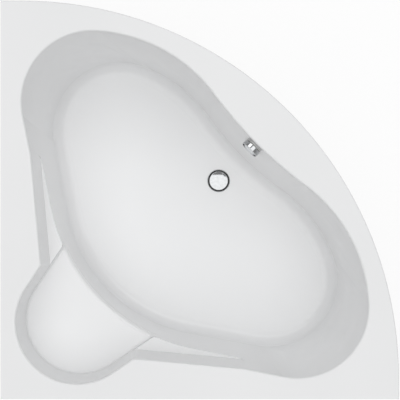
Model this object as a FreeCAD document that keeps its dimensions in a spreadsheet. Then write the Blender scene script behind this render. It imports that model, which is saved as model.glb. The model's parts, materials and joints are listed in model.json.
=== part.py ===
import FreeCAD, Part
import math
import os

import Sketcher
from FreeCAD import Rotation, Vector

# Corner bathtub on its cradle, in millimetres.  Every piece is drawn in the tub's diagonal frame:
# +Y points from the middle of the floor plan to the room corner, and the plan is the same on both
# sides of Y.  Each piece is then turned by 45 degrees, so that the two walls lie along X and Y.

DIAGONAL = 45.0

SIZES = (
    # Plan and deck
    ("wall_length", 1400, "each straight side, along its wall"),
    ("end_flat", 77, "straight end beside each wall, before the round front"),
    ("deck_level", 600, "top of the deck above the floor"),
    ("shell_wall", 5, "thickness of the tub's sheet"),
    ("skirt_drop", 40, "height of the turned-down edge"),
    ("deck_round", 4, "rounding of the deck's outer edge"),
    ("rim_round", 8, "rounding where the deck turns into the bowl"),
    # Bowl at the deck
    ("rim_front", 281, "middle of the front edge, in front of the centre"),
    ("flank_step", 23, "how much further forward the flanks reach"),
    ("rim_tip", 761, "end of each side lobe"),
    ("rim_back", 524, "middle of the back edge, where the seat hides it"),
    ("rim_flank_place", 0.603, "middle of each flank, as a share of the lobe centre's X"),
    ("rim_flank_radius", 555, "flank"),
    ("rim_lobe_radius", 250, "side lobe"),
    ("rim_back_radius", 690, "back"),
    # Bowl at its floor
    ("floor_level", 160, "bathing floor above the ground"),
    ("front_lean", 69, "how far the wall leans in at the front"),
    ("flank_lean", 67, "how far it leans in at the flanks"),
    ("tip_lean", 147, "how far it leans in at the side lobes"),
    ("back_lean", 65, "how far it leans in at the back"),
    ("floor_flank_place", 0.739, "middle of each flank, as a share of the lobe centre's X"),
    ("floor_flank_radius", 524, "flank"),
    ("floor_lobe_radius", 244, "side lobe"),
    ("floor_back_radius", 540, "back"),
    ("floor_round", 56, "rounding between floor and wall"),
    # Seat and arm ledges
    ("seat_drop", 180, "seat below the deck"),
    ("seat_rim_radius", 217, "back of the seat recess, at the deck"),
    ("seat_rim_centre", 610, "its centre, behind the middle"),
    ("seat_floor_radius", 194, "back of the seat recess, at the seat"),
    ("seat_lean", 9, "how far its centre moves forward at the seat"),
    ("seat_flare", 0.2, "how fast the sides of the seat spread towards the bowl"),
    ("seat_reach", 180, "front end of the recess, inside the bowl, from that centre"),
    ("seat_round", 9, "rounding between seat and wall"),
    ("seat_edge_round", 20, "rounding of the seat's front edge"),
    ("nose_round", 18, "rounding of the upright edge between seat and ledge"),
    ("ledge_drop", 150, "arm ledge below the deck"),
    ("ledge_start", 752, "where the ledge's rim line crosses the middle"),
    ("ledge_slope", 0.8325, "how fast that line comes forward"),
    ("ledge_run", 36, "how far the ledge's wall leans forward"),
    ("ledge_overlap", 34, "inner end of the ledge pocket, inside the seat recess"),
    ("ledge_stop", 201, "outer end of the pocket at the deck, from the lobe's tip"),
    ("ledge_end_lean", 55, "how far that end leans in at the ledge"),
    ("ledge_depth", 110, "reach of the pocket into the bowl"),
    # Boards under the tub
    ("board_thickness", 18, "chipboard"),
    ("board_margin", 62, "board edge inside the edge of the floor"),
    ("board_notch", 50, "half width of the opening round the waste"),
    ("seat_board_thickness", 15, "chipboard under the seat"),
    ("seat_board_margin", 29, "seat board's round back inside the seat's"),
    ("seat_board_gap", 4, "seat board's front edge inside the bowl's rim line"),
    # Cradle
    ("tube_side", 30, "square tube, outside"),
    ("tube_wall", 2, "square tube, wall"),
    ("front_bar_y", 10, "front cross bar behind the middle"),
    ("rear_bar_y", 335, "rear cross bar behind the middle"),
    ("front_post_inset", 25, "front posts inside the middle of the deck's tips"),
    ("rear_post_inset", 35, "rear posts outside the same line, along the straight sides"),
    ("seat_post_back", 49, "seat post behind the centre of the seat"),
    ("link_bar_x", 200, "link bars from the middle line"),
    ("post_foot", 60, "lower end of the posts above the ground"),
    ("rim_pad_side", 44, "pad between post and deck"),
    ("rim_pad_height", 10, "pad between post and deck"),
    ("seat_plate_side", 90, "plate on the seat post"),
    ("seat_plate_height", 6, "plate on the seat post"),
    # Levelling feet
    ("rod_radius", 5, "threaded rod"),
    ("rod_length", 112, "threaded rod"),
    ("rod_seat", 4, "lower end of the rod above the ground"),
    ("pad_radius", 26, "foot pad"),
    ("pad_height", 14, "foot pad"),
    ("insert_height", 20, "threaded insert in the post"),
    ("nut_flats", 17, "lock nut across its flats"),
    ("nut_height", 8, "lock nut"),
    ("running_gap", 0.08, "between a rod, shaft or stem and its bore"),
    ("loose_gap", 0.3, "between pieces that only stand beside each other"),
    # Board screws
    ("screw_radius", 2.1, "wood screw shank"),
    ("screw_head_radius", 4.5, "wood screw head"),
    ("screw_head_height", 2.8, "wood screw head"),
    ("screw_bite", 12, "screw's reach into the board"),
    ("front_screw_inner", 120, "inner screws of the front bar"),
    ("front_screw_inset", 164, "outer screws of the front bar from the floor's tip"),
    ("rear_screw_x", 120, "screws of the rear bar"),
    # Front panel
    ("panel_inset", 7, "outer face of the panel inside the deck's edge"),
    ("panel_wall", 4, "thickness of the panel's sheet"),
    ("panel_foot", 22, "lower edge of the panel above the ground"),
    ("panel_lip", 16, "inward lip along the upper and lower edges"),
    ("clip_height", 9, "panel clip, between the panel and the deck"),
    ("clip_width", 40, "panel clip along the panel"),
    ("clip_depth", 16, "panel clip across the panel"),
    ("clip_step", 22, "angle from one clip to the next, in degrees"),
    ("arm_turn", 13, "angle of each panel arm from the middle line, in degrees"),
    ("arm_width", 25, "panel arm"),
    ("arm_thickness", 6, "panel arm"),
    ("arm_tab", 42, "height of the arm's upright end"),
    ("panel_screw_radius", 3, "screw through the panel"),
    # Waste
    ("drain_inset", 114.5, "drain behind the front edge of the floor"),
    ("hole_gap", 2, "hole in the tub round each throat"),
    ("throat_radius", 24, "flange throat, outside"),
    ("throat_wall", 4, "flange throat"),
    ("throat_length", 16, "flange throat below the floor"),
    ("flange_rim", 1.7, "waste flange beyond the plug seal"),
    ("flange_height", 1.6, "waste flange"),
    ("dish_radius", 28, "the flange falls inwards from here"),
    ("dish_fall", 1.4, "how far it falls"),
    ("gasket_height", 1, "upper gasket"),
    ("lower_gasket_height", 3, "lower gasket"),
    ("gasket_radius", 38, "lower gasket"),
    ("cap_radius", 34, "plug cap"),
    ("cap_lift", 4.5, "underside of the closed cap above the floor"),
    ("cap_edge", 3, "edge of the plug cap"),
    ("cap_crown", 3.5, "rise of the cap's crown above its edge"),
    ("cap_round", 2, "rounding of the plug cap's edge"),
    ("stem_radius", 4, "plug stem"),
    ("seal_margin", 5.8, "plug seal, which shows round the cap"),
    ("seal_bore", 6, "plug seal"),
    ("seal_height", 1.6, "plug seal"),
    ("guide_radius", 8, "hub of the guide that holds the stem or spindle"),
    ("guide_height", 3, "hub and spokes of the guide"),
    ("guide_depth", 10, "guide below the floor"),
    ("spoke_width", 3, "spokes of the guide"),
    ("chamber_wall", 4, "waste body"),
    ("chamber_bore", 30, "waste body, inside"),
    ("chamber_depth", 47, "inside of the waste body below its collar"),
    ("collar_height", 5, "collar of the waste body under the tub"),
    ("spigot_bore", 18, "waste spigot, inside"),
    ("spigot_length", 20, "waste spigot"),
    ("inlet_drop", 22, "overflow inlet below the collar"),
    ("inlet_wall", 3, "overflow inlet"),
    ("inlet_bore", 15, "overflow inlet, inside"),
    ("inlet_length", 24, "overflow inlet beyond the chamber"),
    ("lever_inset", 10, "lever pin inside the chamber's bore"),
    ("lever_rise", 12, "lever pin above the chamber's floor"),
    ("lever_tip", 7, "lever's reach beyond the stem's middle"),
    ("lever_half", 2, "half the lever's thickness"),
    ("lever_width", 4, "lever along its pin"),
    ("lever_tail", 8, "lever's tail above its pin"),
    ("pin_radius", 1.2, "lever pin"),
    ("pin_inset", 2.5, "ends of the lever pin inside the chamber's outside"),
    ("boss_radius", 6, "cable boss on the waste body"),
    ("boss_length", 12, "cable boss on the waste body"),
    ("cable_rise", 6, "cable boss above the lever pin"),
    # Trap
    ("trap_bore", 41, "trap, inside"),
    ("trap_foot", 10, "underside of the trap above the ground"),
    ("spigot_entry", 2, "how far the waste spigot enters the trap"),
    ("trap_wall", 4, "trap's top and bottom"),
    ("trap_cap_radius", 30, "clean-out cap"),
    ("trap_cap_height", 6, "clean-out cap"),
    ("dip_rise", 20, "lower end of the dip tube above the trap's underside"),
    ("trap_nut_wall", 9, "nut that holds the trap to the waste"),
    ("trap_nut_height", 13, "nut that holds the trap to the waste"),
    ("outlet_drop", 24, "outlet below the top of the trap"),
    ("outlet_step", 1, "outlet pipe, its step outside the socket"),
    ("outlet_wall", 2, "outlet pipe inside its socket"),
    ("outlet_bore", 17, "outlet pipe, inside"),
    ("outlet_end", 320, "open end of the outlet from the drain"),
    ("socket_length", 30, "socket of the trap round the outlet pipe"),
    ("socket_wall", 3, "socket of the trap round the outlet pipe"),
    # Overflow
    ("overflow_drop", 70, "overflow below the deck"),
    ("knob_radius", 34, "overflow knob"),
    ("knob_gap", 6, "water gap between wall and knob"),
    ("knob_depth", 17, "overflow knob"),
    ("knob_wall", 2.5, "overflow knob"),
    ("knob_round", 2, "rounding of the knob's edge"),
    ("overflow_flange_radius", 30, "overflow flange"),
    ("overflow_flange_height", 3, "overflow flange"),
    ("overflow_throat", 26, "throat of the overflow flange"),
    ("seat_gap", 0.7, "between the curved wall and the flat overflow seal"),
    ("overflow_collar", 36, "collar of the overflow body"),
    ("overflow_depth", 42, "overflow body behind the tub"),
    ("spindle_radius", 3, "knob spindle"),
    ("outlet_inset", 2.7, "overflow outlet inside the back of its body"),
    ("crank_radius", 13, "crank disc on the spindle"),
    ("crank_height", 6, "crank disc on the spindle"),
    ("pipe_wall", 1.9, "overflow pipe"),
    ("pipe_fit", 0.1, "overflow pipe round its spigots"),
    ("pipe_bend", 60, "bend of the overflow pipe"),
    ("pipe_nut_wall", 3, "nut at each end of the overflow pipe"),
    ("pipe_nut_height", 14, "nut at each end of the overflow pipe"),
    # Wall brackets
    ("bracket_place", 430, "brackets from the middle of their wall"),
    ("bracket_width", 40, "bracket along the wall"),
    ("bracket_height", 60, "bracket below the deck's turned-down edge"),
    ("bracket_reach", 22, "bracket's shelf"),
    ("bracket_wall", 2.5, "bracket's sheet"),
    ("bracket_hole", 3.2, "radius of its screw hole"),
    # Ends of the pull cable, which is left out
    ("cable_back", 4, "cable behind the overflow body"),
    ("lug_depth", 9, "lug that holds the cable's end"),
    ("sleeve_radius", 2.5, "cable sleeve"),
    ("core_radius", 1.0, "cable core"),
)

# What follows from those sizes
DERIVED = (
    # Plan
    ("plan_tip", "wall_length / sqrt(2)"),
    ("front_centre", "(wall_length - 2 * end_flat) / sqrt(2)"),
    # Bowl
    ("rim_flank", "rim_front + flank_step"),
    ("rim_flank_x", "rim_flank_place * (rim_tip - rim_lobe_radius)"),
    ("rim_step", "rim_flank - rim_front"),
    ("rim_dip_radius", "(rim_flank_x ^ 2 + rim_step ^ 2) / (2 * rim_step) - rim_flank_radius"),
    ("floor_front", "rim_front - front_lean"),
    ("floor_flank", "rim_flank - flank_lean"),
    ("floor_tip", "rim_tip - tip_lean"),
    ("floor_back", "rim_back - back_lean"),
    ("floor_flank_x", "floor_flank_place * (floor_tip - floor_lobe_radius)"),
    ("floor_step", "floor_flank - floor_front"),
    ("floor_dip_radius",
     "(floor_flank_x ^ 2 + floor_step ^ 2) / (2 * floor_step) - floor_flank_radius"),
    # Seat and ledges
    ("seat_level", "deck_level - seat_drop"),
    ("seat_floor_centre", "seat_rim_centre - seat_lean"),
    ("seat_mouth", "seat_rim_centre - seat_reach"),
    ("ledge_level", "deck_level - ledge_drop"),
    ("ledge_inner", "seat_floor_radius - ledge_overlap"),
    ("ledge_rim_end", "rim_tip - ledge_stop"),
    ("ledge_floor_end", "ledge_rim_end - ledge_end_lean"),
    # Boards and cradle
    ("board_top", "floor_level - shell_wall"),
    ("bar_top", "board_top - board_thickness"),
    ("bar_foot", "bar_top - tube_side"),
    ("seat_top", "seat_level - shell_wall"),
    ("seat_board_radius", "seat_floor_radius - seat_board_margin"),
    ("seat_board_front", "rim_back - seat_board_gap"),
    ("tip_middle", "(rim_tip + plan_tip) / 2"),
    ("front_post_x", "tip_middle - front_post_inset"),
    ("rear_post_x", "tip_middle - rear_bar_y + rear_post_inset"),
    ("seat_post_y", "seat_floor_centre + seat_post_back"),
    ("post_top", "deck_level - shell_wall - rim_pad_height"),
    ("seat_post_top", "seat_top - seat_board_thickness - seat_plate_height"),
    ("front_screw_outer", "floor_tip - front_screw_inset"),
    # Front panel
    ("panel_head", "deck_level - shell_wall - clip_height"),
    ("panel_back", "wall_length - end_flat - panel_inset - panel_wall"),
    ("arm_start", "(front_centre - front_bar_y - tube_side / 2) / cos(arm_turn)"),
    # Waste
    ("drain_y", "floor_front - drain_inset"),
    ("throat_bore", "throat_radius - throat_wall"),
    ("hole_radius", "throat_radius + hole_gap"),
    ("seal_radius", "cap_radius + seal_margin"),
    ("flange_radius", "seal_radius + flange_rim"),
    ("flange_foot", "floor_level + gasket_height"),
    ("flange_top", "flange_foot + flange_height"),
    ("cap_foot", "floor_level + cap_lift"),
    ("collar_top", "board_top - lower_gasket_height"),
    ("chamber_top", "collar_top - collar_height"),
    ("chamber_floor", "chamber_top - chamber_depth"),
    ("chamber_foot", "chamber_floor - trap_wall"),
    ("spigot_foot", "chamber_foot - spigot_length"),
    ("chamber_radius", "chamber_bore + chamber_wall"),
    ("spigot_radius", "spigot_bore + trap_wall"),
    ("inlet_radius", "inlet_bore + inlet_wall"),
    ("inlet_level", "chamber_top - inlet_drop"),
    ("lever_pivot_x", "chamber_bore - lever_inset"),
    ("lever_level", "chamber_floor + lever_rise"),
    ("pin_length", "2 * sqrt(chamber_radius ^ 2 - lever_pivot_x ^ 2) - 2 * pin_inset"),
    ("stem_foot", "lever_level + lever_half + loose_gap"),
    ("cable_level", "lever_level + cable_rise"),
    ("cable_side", "lever_width / 2 + core_radius + loose_gap"),
    # Trap
    ("trap_radius", "trap_bore + trap_wall"),
    ("trap_head", "spigot_foot + spigot_entry"),
    ("trap_nut_radius", "spigot_radius + trap_nut_wall"),
    ("dip_end", "trap_foot + dip_rise"),
    ("outlet_level", "trap_head - outlet_drop"),
    ("outlet_neck", "outlet_bore + outlet_wall"),
    ("outlet_radius", "outlet_neck + outlet_step"),
    ("socket_start", "(trap_bore + trap_radius) / 2 - socket_wall"),
    ("outlet_shoulder", "socket_start + socket_length + trap_nut_height + socket_wall"),
    # Overflow, along the normal of its wall
    ("wall_fall", "rim_front - floor_front"),
    ("wall_depth", "deck_level - floor_level"),
    ("wall_slant", "sqrt(wall_fall ^ 2 + wall_depth ^ 2)"),
    ("gasket_top", "-shell_wall - seat_gap"),
    ("overflow_collar_top", "gasket_top - lower_gasket_height"),
    ("overflow_floor", "overflow_collar_top - overflow_depth"),
    ("overflow_end", "overflow_floor - trap_wall"),
    ("overflow_back", "-overflow_end - inlet_radius - outlet_inset"),
    ("spigot_end", "chamber_radius + inlet_length"),
    ("pipe_bore", "inlet_radius + pipe_fit"),
    ("pipe_radius", "pipe_bore + pipe_wall"),
    ("pipe_nut_radius", "pipe_radius + pipe_nut_wall"),
    ("cable_x", "crank_radius + core_radius + loose_gap"),
)

doc = FreeCAD.newDocument("corner_bathtub")
sheet = doc.addObject("Spreadsheet::Sheet", "Sizes")
for row, (alias, number, note) in enumerate(SIZES, start=1):
    sheet.set(f"A{row}", alias)
    sheet.set(f"B{row}", str(number))
    sheet.set(f"C{row}", note)
    sheet.setAlias(f"B{row}", alias)
for row, (alias, formula) in enumerate(DERIVED, start=len(SIZES) + 1):
    sheet.set(f"A{row}", alias)
    sheet.set(f"B{row}", f"={formula}")
    sheet.setAlias(f"B{row}", alias)
doc.recompute()

NAMES = {entry[0] for entry in SIZES + DERIVED}
PIECES = []


def bound(text):
    """Turn a formula of plain size names into one that reads the sheet."""
    words = []
    word = ""
    for letter in str(text) + " ":
        if letter.isalnum() or letter == "_":
            word += letter
            continue
        words.append(f"Sizes.{word}" if word in NAMES else word)
        words.append(letter)
        word = ""
    return "".join(words).strip()


def size(text):
    """Work out a formula of size names."""
    found = sheet.evalExpression(bound(text))
    return float(getattr(found, "Value", found))


# --- drawing helpers ---------------------------------------------------------------------------


def piece(name):
    """Start a sub-part and add it to the list that is written at the end."""
    body = doc.addObject("PartDesign::Body", name)
    body.Label = name
    PIECES.append(body)
    return body


def place(body, x="0", y="0", z="0", turn=0.0, diagonal=True):
    """Put a sub-part at a place of the diagonal frame, or of the room frame, turned about Z."""
    if diagonal:
        body.setExpression("Placement.Base.x", bound(f"(({x}) - ({y})) / sqrt(2)"))
        body.setExpression("Placement.Base.y", bound(f"(({x}) + ({y})) / sqrt(2)"))
        turn += DIAGONAL
    else:
        body.setExpression("Placement.Base.x", bound(x))
        body.setExpression("Placement.Base.y", bound(y))
    body.setExpression("Placement.Base.z", bound(z))
    body.Placement.Rotation = Rotation(Vector(0, 0, 1), turn)


def sketch_on(body, role, height="0"):
    """An empty sketch on one of the body's own planes, lifted along the plane's normal."""
    sketch = body.newObject("Sketcher::SketchObject", body.Name + "_sketch")
    plane = [item for item in body.Origin.OriginFeatures if item.Role == role][0]
    sketch.AttachmentSupport = (plane, [""])
    sketch.MapMode = "FlatFace"
    sketch.setExpression("AttachmentOffset.Base.z", bound(height))
    return sketch


def bind(sketch, kind, *arguments, formula):
    """Add a dimension to a sketch and tie it to the sheet."""
    index = sketch.addConstraint(Sketcher.Constraint(kind, *arguments, size(formula)))
    name = f"d{index}"
    sketch.renameConstraint(index, name)
    sketch.setExpression(f"Constraints.{name}", bound(formula))


def pin_point(sketch, edge, end, x, y):
    """Hold one end of an edge at a place given by two formulas."""
    bind(sketch, "DistanceX", -1, 1, edge, end, formula=x)
    bind(sketch, "DistanceY", -1, 1, edge, end, formula=y)


def profile(sketch, points, arcs=None):
    """A closed outline through points.  arcs maps an edge's number to (radius, side): side is 1
    where the arc's centre lies to the left of the way along the outline, and -1 to its right."""
    arcs = arcs or {}
    first = sketch.GeometryCount
    places = [Vector(size(x), size(y), 0) for x, y in points]
    count = len(points)
    ends = []
    for number in range(count):
        start = places[number]
        stop = places[(number + 1) % count]
        if number not in arcs:
            sketch.addGeometry(Part.LineSegment(start, stop), False)
            ends.append((1, 2))
            continue
        radius, side = arcs[number]
        chord = stop - start
        rise = math.sqrt(max(size(radius) ** 2 - chord.Length ** 2 / 4, 0.0))
        left = Vector(-chord.y, chord.x, 0).normalize()
        centre = (start + stop) * 0.5 + left * (side * rise)
        begin, finish = (start, stop) if side > 0 else (stop, start)
        angles = [math.atan2(spot.y - centre.y, spot.x - centre.x) for spot in (begin, finish)]
        if angles[1] < angles[0]:
            angles[1] += 2 * math.pi
        circle = Part.Circle(centre, Vector(0, 0, 1), size(radius))
        sketch.addGeometry(Part.ArcOfCircle(circle, *angles), False)
        ends.append((1, 2) if side > 0 else (2, 1))
    for number in range(count):
        following = (number + 1) % count
        sketch.addConstraint(Sketcher.Constraint(
            "Coincident", first + number, ends[number][1], first + following, ends[following][0]))
    for number, (x, y) in enumerate(points):
        pin_point(sketch, first + number, ends[number][0], x, y)
        if number in arcs:
            bind(sketch, "Radius", first + number, formula=arcs[number][0])


def rectangle(sketch, x0, x1, y0, y1):
    """A rectangle between two formulas each way."""
    profile(sketch, ((x0, y0), (x1, y0), (x1, y1), (x0, y1)))


def circle(sketch, radius, x="0", y="0"):
    """A circle at a place given by two formulas."""
    centre = Vector(size(x), size(y), 0)
    edge = sketch.addGeometry(Part.Circle(centre, Vector(0, 0, 1), size(radius)), False)
    pin_point(sketch, edge, 3, x, y)
    bind(sketch, "Radius", edge, formula=radius)


def hexagon(sketch, flats, x="0", y="0"):
    """A regular hexagon of a given width across its flats."""
    corners = []
    for corner in range(6):
        angle = math.radians(60 * corner + 30)
        reach = f"({flats}) / sqrt(3)"
        corners.append((f"({x}) + {reach} * {math.cos(angle):.9f}",
                        f"({y}) + {reach} * {math.sin(angle):.9f}"))
    profile(sketch, corners)


def pad(body, sketch, length, midplane=False, back=False):
    """Raise a sketch into a solid."""
    feature = body.newObject("PartDesign::Pad", body.Name + "_pad")
    feature.Profile = sketch
    feature.setExpression("Length", bound(length))
    feature.Midplane = midplane
    feature.Reversed = back
    doc.recompute()
    return feature


def pocket(body, sketch, length, back=False, midplane=False):
    """Cut a sketch out of a solid.  It must take material away."""
    before = body.Shape.Volume
    feature = body.newObject("PartDesign::Pocket", body.Name + "_pocket")
    feature.Profile = sketch
    feature.setExpression("Length", bound(length))
    feature.Reversed = back
    feature.Midplane = midplane
    doc.recompute()
    if not body.Shape.Volume < before:
        raise ValueError(f"a pocket of {body.Label} cuts nothing")
    return feature


def turn_round(body, points, arcs=None):
    """Turn an outline of (radius, height) points about the body's Z axis."""
    sketch = sketch_on(body, "XZ_Plane")
    profile(sketch, points, arcs)
    feature = body.newObject("PartDesign::Revolution", body.Name + "_turned")
    feature.Profile = sketch
    feature.ReferenceAxis = (sketch, ["V_Axis"])
    feature.Angle = 360
    doc.recompute()
    return feature


def turned_piece(name, points, arcs=None):
    """A sub-part that is one turned solid."""
    body = piece(name)
    turn_round(body, points, arcs)
    return body


def tube_points(bore, radius, low, high):
    """The outline of a plain ring or tube."""
    return ((bore, low), (radius, low), (radius, high), (bore, high))


def pad_of(body, low, height, draw, *arguments, role="XY_Plane"):
    """Draw a sketch at a level and pad it."""
    sketch = sketch_on(body, role, low)
    draw(sketch, *arguments)
    return pad(body, sketch, height)


def pocket_of(body, low, height, draw, *arguments, role="XY_Plane"):
    """Draw a sketch at a level and cut it upwards."""
    sketch = sketch_on(body, role, low)
    draw(sketch, *arguments)
    return pocket(body, sketch, height, back=True)


def soften(body, edges, radius):
    """Round some edges of the body's last feature."""
    last = body.Tip
    feature = body.newObject("PartDesign::Fillet", body.Name + "_round")
    feature.Base = (last, edges)
    feature.setExpression("Radius", bound(radius))
    doc.recompute()
    if feature.Shape.isNull() or not feature.Shape.isValid():
        raise ValueError(f"a rounding of {body.Label} failed: {radius}")
    return feature


def edges_where(shape, test):
    """Names of the edges whose ends and middle all pass a test."""
    found = []
    for number, edge in enumerate(shape.Edges, start=1):
        middle = edge.valueAt((edge.FirstParameter + edge.LastParameter) / 2)
        spots = [vertex.Point for vertex in edge.Vertexes] + [middle]
        if all(test(spot) for spot in spots):
            found.append(f"Edge{number}")
    return found


def level_edges(shape, level, test=None):
    """Names of the edges that lie at one level and pass a further test."""
    height = size(level)
    return edges_where(
        shape, lambda spot: abs(spot.z - height) < 0.01 and (test is None or test(spot)))


def soften_rim(body, level, radius, rounding):
    """Round the outermost edge of a turned piece at one level."""
    reach = size(radius) - 0.01
    edges = level_edges(body.Tip.Shape, level, lambda spot: math.hypot(spot.x, spot.y) > reach)
    soften(body, edges, rounding)


def cylinder(body, kind, base, direction, radius, length):
    """Add or cut a cylinder that starts at a point given by formulas and runs along a vector."""
    feature = body.newObject(f"PartDesign::{kind}Cylinder", body.Name + "_cylinder")
    plane = [item for item in body.Origin.OriginFeatures if item.Role == "XY_Plane"][0]
    feature.AttachmentSupport = [(plane, "")]
    feature.MapMode = "FlatFace"
    feature.AttachmentOffset.Rotation = Rotation(Vector(0, 0, 1), Vector(*direction))
    for axis, formula in zip("xyz", base):
        feature.setExpression(f"AttachmentOffset.Base.{axis}", bound(formula))
    feature.setExpression("Radius", bound(radius))
    feature.setExpression("Height", bound(length))
    doc.recompute()
    return feature


# --- outlines of the tub -----------------------------------------------------------------------


def deck_outline(sketch, inset):
    """Room corner, two straight sides, two short ends and the round front."""
    tip = f"(wall_length - 2 * ({inset})) / sqrt(2)"
    short = f"(end_flat - ({inset})) / sqrt(2)"
    points = (("0", tip), (f"-{tip}", "0"), (f"-{tip} + {short}", f"-{short}"),
              (f"{tip} - {short}", f"-{short}"), (tip, "0"))
    profile(sketch, points, {2: (f"wall_length - end_flat - ({inset})", 1)})


def bowl_outline(sketch, level, grow):
    """The three-lobed bowl at the rim or at the floor, grown outwards all round.  Eight edges run
    into each other smoothly: front bulge, flank, lobe, side, back, side, lobe and flank."""
    radii = {
        "dip": f"{level}_dip_radius - ({grow})",
        "flank": f"{level}_flank_radius + ({grow})",
        "lobe": f"{level}_lobe_radius + ({grow})",
        "back": f"{level}_back_radius + ({grow})",
    }
    dip, flank, lobe, back = (size(radii[key]) for key in ("dip", "flank", "lobe", "back"))
    front = f"-{level}_front - {level}_dip_radius"
    flank_y = f"{level}_flank_radius - {level}_flank"
    lobe_x = f"{level}_tip - {level}_lobe_radius"
    back_y = f"{level}_back - {level}_back_radius"
    dip_centre = Vector(0, size(front), 0)
    flank_centre = Vector(size(f"{level}_flank_x"), size(flank_y), 0)
    aside = size(lobe_x) - flank_centre.x
    lobe_centre = Vector(
        size(lobe_x), flank_centre.y - math.sqrt((flank - lobe) ** 2 - aside ** 2), 0)
    back_centre = Vector(0, size(back_y), 0)
    between = lobe_centre - back_centre
    side_angle = math.atan2(between.y, between.x) + math.acos((back - lobe) / between.Length)
    flank_start = math.atan2(dip_centre.y - flank_centre.y, dip_centre.x - flank_centre.x)
    flank_stop = math.atan2(lobe_centre.y - flank_centre.y, lobe_centre.x - flank_centre.x)
    normal = Vector(math.cos(side_angle), math.sin(side_angle), 0)

    def arc(centre, radius, start, stop):
        round_edge = Part.Circle(centre, Vector(0, 0, 1), radius)
        return sketch.addGeometry(Part.ArcOfCircle(round_edge, start, stop), False)

    def mirrored(spot):
        return Vector(-spot.x, spot.y, 0)

    turn = math.pi
    arc(dip_centre, dip, flank_start + turn, -flank_start)
    arc(flank_centre, flank, flank_start, flank_stop)
    arc(lobe_centre, lobe, flank_stop, side_angle)
    side = (lobe_centre + normal * lobe, back_centre + normal * back)
    sketch.addGeometry(Part.LineSegment(*side), False)
    arc(back_centre, back, side_angle, turn - side_angle)
    sketch.addGeometry(Part.LineSegment(mirrored(side[1]), mirrored(side[0])), False)
    arc(mirrored(lobe_centre), lobe, turn - side_angle, turn - flank_stop)
    arc(mirrored(flank_centre), flank, turn - flank_stop, turn - flank_start)

    starts = (2, 1, 1, 1, 1, 1, 1, 1)
    stops = (1, 2, 2, 2, 2, 2, 2, 2)
    for number in range(8):
        following = (number + 1) % 8
        sketch.addConstraint(Sketcher.Constraint(
            "Tangent", number, stops[number], following, starts[following]))
    for edge, key in ((0, "dip"), (1, "flank"), (2, "lobe"), (4, "back"), (6, "lobe"),
                      (7, "flank")):
        bind(sketch, "Radius", edge, formula=radii[key])
    pin_point(sketch, 0, 3, "0", front)
    pin_point(sketch, 4, 3, "0", back_y)
    bind(sketch, "DistanceY", -1, 1, 1, 3, formula=flank_y)
    bind(sketch, "DistanceY", -1, 1, 7, 3, formula=flank_y)
    bind(sketch, "DistanceX", -1, 1, 2, 3, formula=lobe_x)
    bind(sketch, "DistanceX", -1, 1, 6, 3, formula=f"-({lobe_x})")


def seat_outline(sketch, level, grow, mouth="seat_mouth"):
    """The seat recess: a round back whose straight sides spread towards the bowl."""
    slant = "sqrt(1 + seat_flare ^ 2)"
    radius = f"seat_{level}_radius + ({grow})"
    touch_x = f"({radius}) / {slant}"
    touch_y = f"seat_{level}_centre + ({radius}) * seat_flare / {slant}"
    mouth_x = f"{touch_x} + seat_flare * ({touch_y} - ({mouth}))"
    points = ((f"-({mouth_x})", mouth), (mouth_x, mouth), (touch_x, touch_y),
              (f"-{touch_x}", touch_y))
    profile(sketch, points, {2: (radius, 1)})


def ledge_outline(sketch, side, end, run, grow):
    """One arm ledge pocket: its outer line follows the ledge, the rest lies inside the bowl."""
    slant = "sqrt(1 + ledge_slope ^ 2)"
    line = f"ledge_start - ({run}) + ({grow}) * {slant} - ledge_slope * "
    points = [("ledge_inner", f"{line} ledge_inner"),
              ("ledge_inner", f"{line} ledge_inner - ledge_depth"),
              (f"{end} - ledge_depth", f"{line} {end} - ledge_depth / 4"),
              (end, f"{line} {end}")]
    if side < 0:
        points = [(f"-({x})", y) for x, y in reversed(points)]
    profile(sketch, points)


def loft(body, kind, lower, upper):
    """A straight-sided solid between two outlines."""
    feature = body.newObject(f"PartDesign::{kind}", body.Name + "_loft")
    feature.Profile = lower
    feature.Sections = [upper]
    feature.Ruled = True
    doc.recompute()
    return feature


def hollow(body, kind, outline, low, low_arguments, high_arguments, grow):
    """Add or take away one drafted hollow of the tub, from a level up to the deck."""
    lower = sketch_on(body, "XY_Plane", low)
    outline(lower, *low_arguments, grow)
    upper = sketch_on(body, "XY_Plane", "deck_level")
    outline(upper, *high_arguments, grow)
    return loft(body, kind, lower, upper)


def tub_hollows(body, kind, grow):
    """The bowl, the seat recess and the two ledge pockets."""
    hollow(body, kind, bowl_outline, f"floor_level - ({grow})", ("floor",), ("rim",), grow)
    hollow(body, kind, seat_outline, f"seat_level - ({grow})", ("floor",), ("rim",),
           grow)
    for side in (1, -1):
        hollow(body, kind, ledge_outline, f"ledge_level - ({grow})",
               (side, "ledge_floor_end", "ledge_run"), (side, "ledge_rim_end", "0"), grow)


def deck_face(shape):
    """The flat top of the deck."""
    height = size("deck_level")
    flat = [face for face in shape.Faces
            if abs(face.BoundBox.ZMin - height) < 0.01 and face.BoundBox.ZLength < 0.01]
    return max(flat, key=lambda face: face.Area)


def names_of(shape, edges):
    """Names, in a shape, of some of its edges."""
    return [f"Edge{number}" for number, edge in enumerate(shape.Edges, start=1)
            if any(edge.isSame(other) for other in edges)]


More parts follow.
